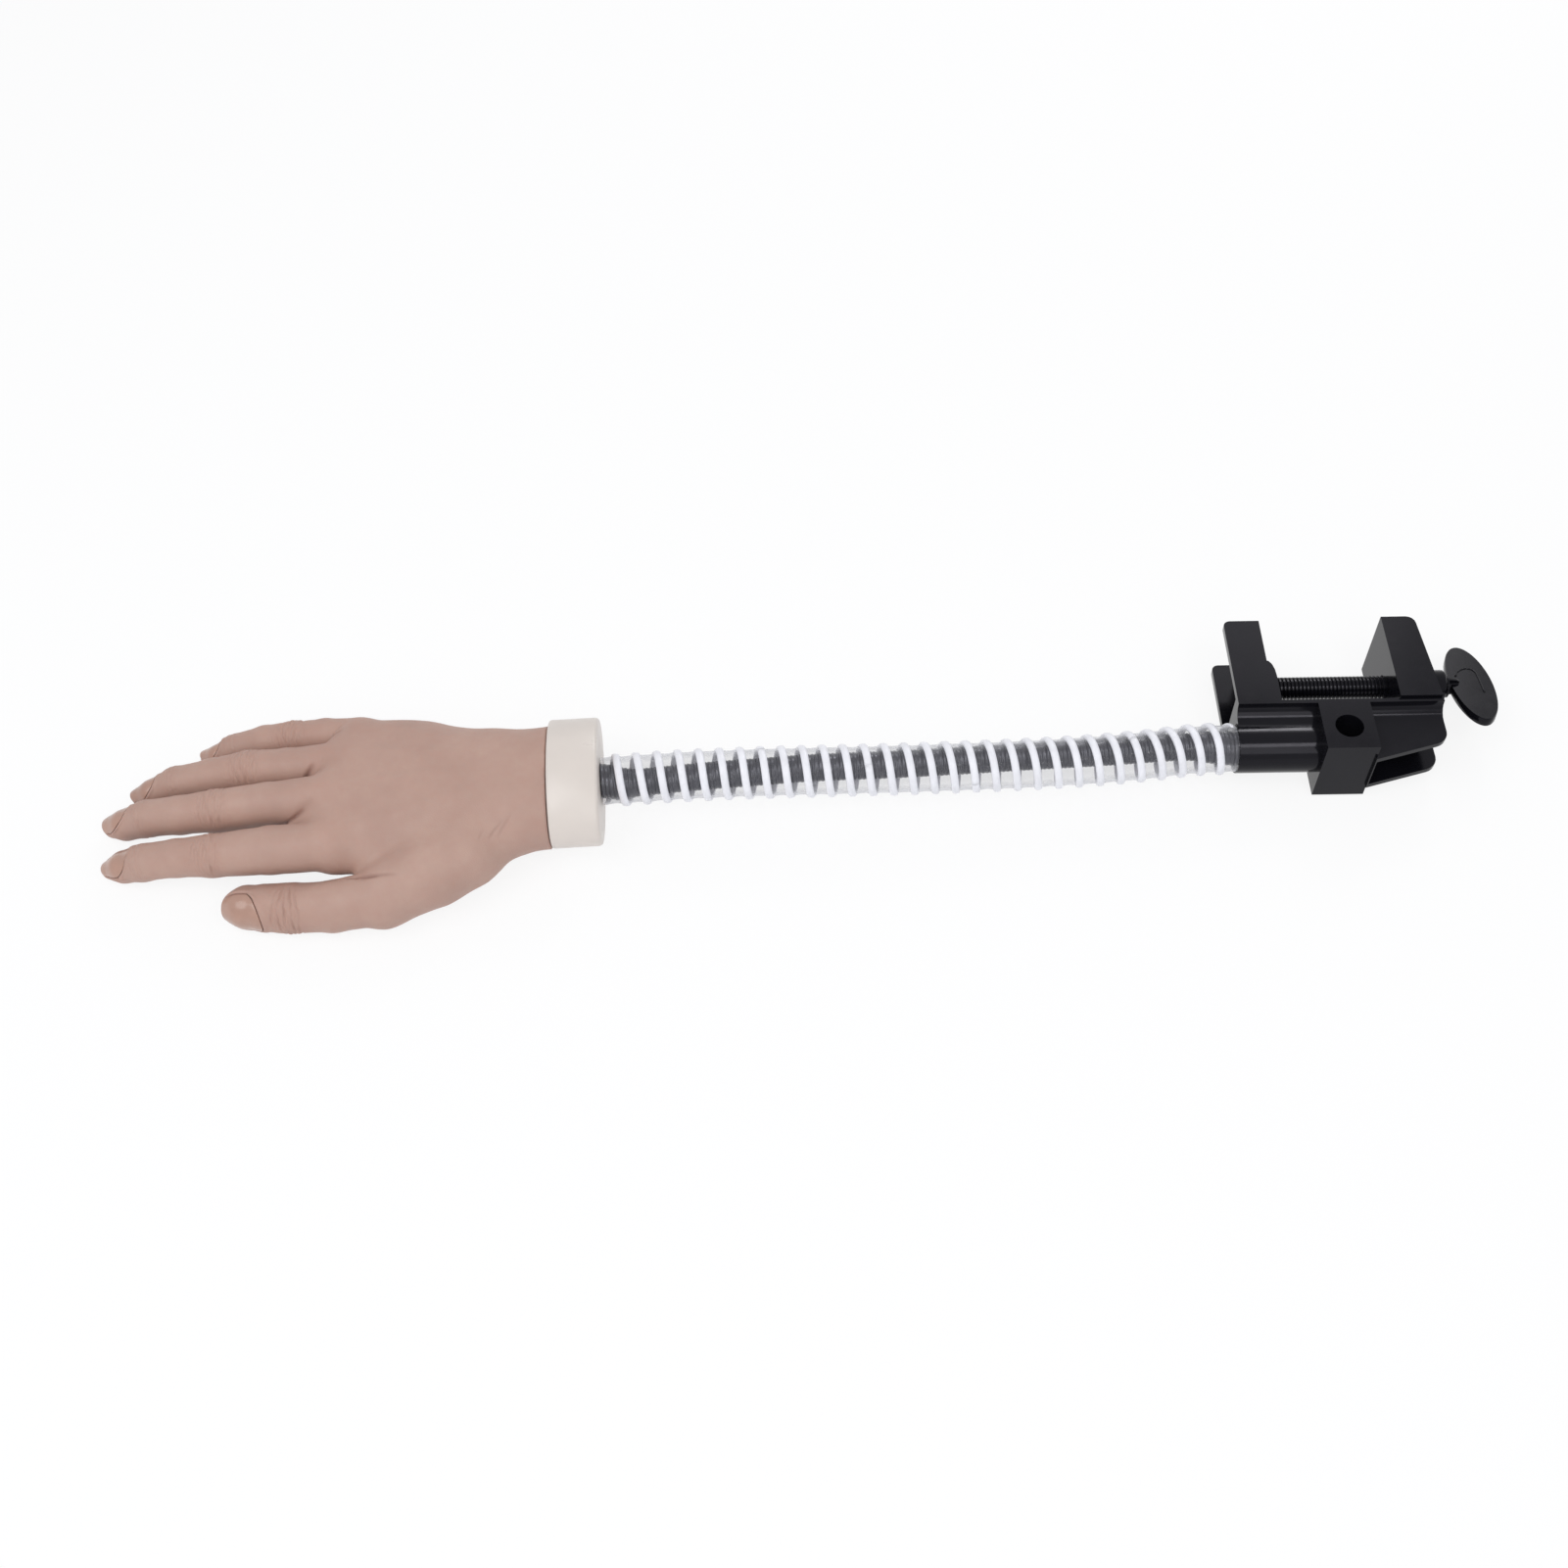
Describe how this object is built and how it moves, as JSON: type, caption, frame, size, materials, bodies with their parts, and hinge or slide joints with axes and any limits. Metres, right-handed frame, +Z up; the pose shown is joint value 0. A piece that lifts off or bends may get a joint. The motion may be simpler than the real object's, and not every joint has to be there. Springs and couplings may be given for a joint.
{
  "type": "nail practice hand",
  "caption": "Silicone practice hand for nail work on a bendable ribbed neck with a screw table clamp.",
  "frame": {"origin": "On the fixed jaw's gripping face, in the middle of the flat part between the screw and the free edge.", "axes": "+X runs across the jaws from the fixed jaw to the thumb plate, +Y runs out along the jaws to their free edge, +Z is up as the object lies on a table, along the lamp pin hole."},
  "size_m": [0.6346, 0.1455, 0.0454],
  "materials": {
    "black_plastic": "glossy black moulded plastic",
    "steel": "plain bright steel",
    "clear_hose": "clear flexible plastic",
    "white_rib": "white stiff plastic strand",
    "ivory_plastic": "smooth ivory plastic",
    "silicone": "matte skin-toned silicone",
    "nail": "glossy skin-toned plastic",
    "core_plastic": "plain moulded plastic"
  },
  "bodies": {
    "clamp": {"clamp_body": "black_plastic", "neck_stub": "steel", "clamp_ferrule": "steel", "hose_sleeve": "clear_hose", "hose_rib": "white_rib"},
    "sliding_jaw": {"moving_jaw": "black_plastic"},
    "screw": {"clamp_screw": "black_plastic", "screw_clip": "steel", "thumb_plate": "black_plastic"},
    "neck_01": {"neck_link_01": "steel"},
    "neck_02": {"neck_link_02": "steel"},
    "neck_03": {"neck_link_03": "steel"},
    "neck_04": {"neck_link_04": "steel"},
    "neck_05": {"neck_link_05": "steel"},
    "neck_06": {"neck_link_06": "steel"},
    "neck_07": {"neck_link_07": "steel"},
    "neck_08": {"neck_link_08": "steel"},
    "neck_09": {"neck_link_09": "steel"},
    "neck_10": {"neck_link_10": "steel"},
    "neck_11": {"neck_link_11": "steel"},
    "neck_12": {"neck_link_12": "steel", "wrist_ferrule": "steel", "wrist_washer": "steel", "wrist_nut": "steel"},
    "hand": {"wrist_collar": "ivory_plastic", "palm": "silicone", "palm_core": "core_plastic", "index_wire": "steel", "middle_wire": "steel", "ring_wire": "steel", "little_wire": "steel", "thumb_wire": "steel"},
    "index_inner": {"index_base": "silicone"},
    "index_outer": {"index_tip": "silicone", "index_nail": "nail"},
    "middle_inner": {"middle_base": "silicone"},
    "middle_outer": {"middle_tip": "silicone", "middle_nail": "nail"},
    "ring_inner": {"ring_base": "silicone"},
    "ring_outer": {"ring_tip": "silicone", "ring_nail": "nail"},
    "little_inner": {"little_base": "silicone"},
    "little_outer": {"little_tip": "silicone", "little_nail": "nail"},
    "thumb_inner": {"thumb_base": "silicone"},
    "thumb_outer": {"thumb_tip": "silicone", "thumb_nail": "nail"}
  },
  "joints": [
    {"name": "jaw_slide", "type": "slide", "parent": "clamp", "child": "sliding_jaw", "axis": [-1, 0, 0], "range_m": [0, 0.04725]},
    {"name": "screw_turn", "type": "hinge", "parent": "clamp", "child": "screw", "pos_m": [0.06, -0.0181, 0], "axis": [1, 0, 0], "range_deg": [0, 9720.1]},
    {"name": "neck_low_lift_1", "type": "hinge", "parent": "clamp", "child": "neck_01", "pos_m": [-0.02889, -0.05296, 0.00013], "axis": [-0.0593, 0.9982, 0], "range_deg": [-20, 20], "deforming": ["hose_sleeve", "hose_rib"]},
    {"name": "neck_low_side_1", "type": "hinge", "parent": "neck_01", "child": "neck_02", "pos_m": [-0.05253, -0.05564, 0.00037], "axis": [0, 0, 1], "range_deg": [-20, 20], "deforming": ["hose_sleeve", "hose_rib"]},
    {"name": "neck_low_lift_2", "type": "hinge", "parent": "neck_02", "child": "neck_03", "pos_m": [-0.07618, -0.05819, 0.00062], "axis": [-0.0895, 0.996, 0], "range_deg": [-20, 20], "deforming": ["hose_sleeve", "hose_rib"]},
    {"name": "neck_low_side_2", "type": "hinge", "parent": "neck_03", "child": "neck_04", "pos_m": [-0.09992, -0.0599, 0.00087], "axis": [0, 0, 1], "range_deg": [-20, 20], "deforming": ["hose_sleeve", "hose_rib"]},
    {"name": "neck_low_lift_3", "type": "hinge", "parent": "neck_04", "child": "neck_05", "pos_m": [-0.12368, -0.06108, 0.00112], "axis": [-0.042, 0.9991, 0], "range_deg": [-20, 20], "deforming": ["hose_sleeve", "hose_rib"]},
    {"name": "neck_low_side_3", "type": "hinge", "parent": "neck_05", "child": "neck_06", "pos_m": [-0.14747, -0.0619, 0.00137], "axis": [0, 0, 1], "range_deg": [-20, 20], "deforming": ["hose_sleeve", "hose_rib"]},
    {"name": "neck_high_lift_1", "type": "hinge", "parent": "neck_06", "child": "neck_07", "pos_m": [-0.17125, -0.06268, 0.00162], "axis": [-0.0261, 0.9997, 0], "range_deg": [-20, 20], "deforming": ["hose_sleeve", "hose_rib"]},
    {"name": "neck_high_side_1", "type": "hinge", "parent": "neck_07", "child": "neck_08", "pos_m": [-0.19504, -0.06314, 0.00187], "axis": [0, 0, 1], "range_deg": [-20, 20], "deforming": ["hose_sleeve", "hose_rib"]},
    {"name": "neck_high_lift_2", "type": "hinge", "parent": "neck_08", "child": "neck_09", "pos_m": [-0.21883, -0.06358, 0.00212], "axis": [-0.0227, 0.9997, 0], "range_deg": [-20, 20], "deforming": ["hose_sleeve", "hose_rib"]},
    {"name": "neck_high_side_2", "type": "hinge", "parent": "neck_09", "child": "neck_10", "pos_m": [-0.24262, -0.06422, 0.00237], "axis": [0, 0, 1], "range_deg": [-20, 20], "deforming": ["hose_sleeve", "hose_rib"]},
    {"name": "neck_high_lift_3", "type": "hinge", "parent": "neck_10", "child": "neck_11", "pos_m": [-0.26639, -0.06527, 0.00263], "axis": [-0.0583, 0.9983, 0], "range_deg": [-20, 20], "deforming": ["hose_sleeve", "hose_rib"]},
    {"name": "neck_high_side_3", "type": "hinge", "parent": "neck_11", "child": "neck_12", "pos_m": [-0.29012, -0.06699, 0.00287], "axis": [0, 0, 1], "range_deg": [-20, 20], "deforming": ["hose_sleeve", "hose_rib"]},
    {"name": "wrist_swivel", "type": "hinge", "parent": "neck_12", "child": "hand", "pos_m": [-0.302, -0.0677, 0.003], "axis": [-0.9986, -0.0523, 0], "range_deg": [-90, 90]},
    {"name": "index_knuckle", "type": "hinge", "parent": "hand", "child": "index_inner", "pos_m": [-0.44829, -0.10335, 0.003], "axis": [-0.0278, -0.9996, 0], "range_deg": [-20, 35], "deforming": ["index_wire"]},
    {"name": "index_middle_joint", "type": "hinge", "parent": "index_inner", "child": "index_outer", "pos_m": [-0.4712, -0.10272, -0.00047], "axis": [-0.0905, -0.9959, 0], "range_deg": [-10, 40], "deforming": ["index_wire"]},
    {"name": "middle_knuckle", "type": "hinge", "parent": "hand", "child": "middle_inner", "pos_m": [-0.45177, -0.07984, 0.00402], "axis": [0.0132, -0.9999, 0], "range_deg": [-20, 35], "deforming": ["middle_wire"]},
    {"name": "middle_middle_joint", "type": "hinge", "parent": "middle_inner", "child": "middle_outer", "pos_m": [-0.47259, -0.08011, 0.00096], "axis": [-0.1021, -0.9948, 0], "range_deg": [-10, 40], "deforming": ["middle_wire"]},
    {"name": "ring_knuckle", "type": "hinge", "parent": "hand", "child": "ring_inner", "pos_m": [-0.445, -0.05701, 0.003], "axis": [-0.0279, -0.9996, 0], "range_deg": [-20, 35], "deforming": ["ring_wire"]},
    {"name": "ring_middle_joint", "type": "hinge", "parent": "ring_inner", "child": "ring_outer", "pos_m": [-0.4628, -0.05652, -0.00006], "axis": [0.0041, -1, 0], "range_deg": [-10, 40], "deforming": ["ring_wire"]},
    {"name": "little_knuckle", "type": "hinge", "parent": "hand", "child": "little_inner", "pos_m": [-0.43177, -0.03651, -0.00006], "axis": [-0.0566, -0.9984, 0], "range_deg": [-20, 35], "deforming": ["little_wire"]},
    {"name": "little_middle_joint", "type": "hinge", "parent": "little_inner", "child": "little_outer", "pos_m": [-0.44489, -0.03576, -0.0021], "axis": [0.0208, -0.9998, 0], "range_deg": [-10, 40], "deforming": ["little_wire"]},
    {"name": "thumb_knuckle", "type": "hinge", "parent": "hand", "child": "thumb_inner", "pos_m": [-0.41644, -0.1264, -0.007], "axis": [-0.0308, -0.9995, 0], "range_deg": [-15, 25], "deforming": ["thumb_wire"]},
    {"name": "thumb_middle_joint", "type": "hinge", "parent": "thumb_inner", "child": "thumb_outer", "pos_m": [-0.43486, -0.12583, -0.00904], "axis": [-0.1046, -0.9945, 0], "range_deg": [-10, 40], "deforming": ["thumb_wire"]}
  ],
  "couplings": [
    {"joint": "screw_turn", "follows": "jaw_slide", "rad_per_m": 3590.4},
    {"joint": "neck_low_lift_2", "follows": "neck_low_lift_1", "ratio": 1},
    {"joint": "neck_low_side_2", "follows": "neck_low_side_1", "ratio": 1},
    {"joint": "neck_low_lift_3", "follows": "neck_low_lift_1", "ratio": 1},
    {"joint": "neck_low_side_3", "follows": "neck_low_side_1", "ratio": 1},
    {"joint": "neck_high_lift_2", "follows": "neck_high_lift_1", "ratio": 1},
    {"joint": "neck_high_side_2", "follows": "neck_high_side_1", "ratio": 1},
    {"joint": "neck_high_lift_3", "follows": "neck_high_lift_1", "ratio": 1},
    {"joint": "neck_high_side_3", "follows": "neck_high_side_1", "ratio": 1}
  ]
}
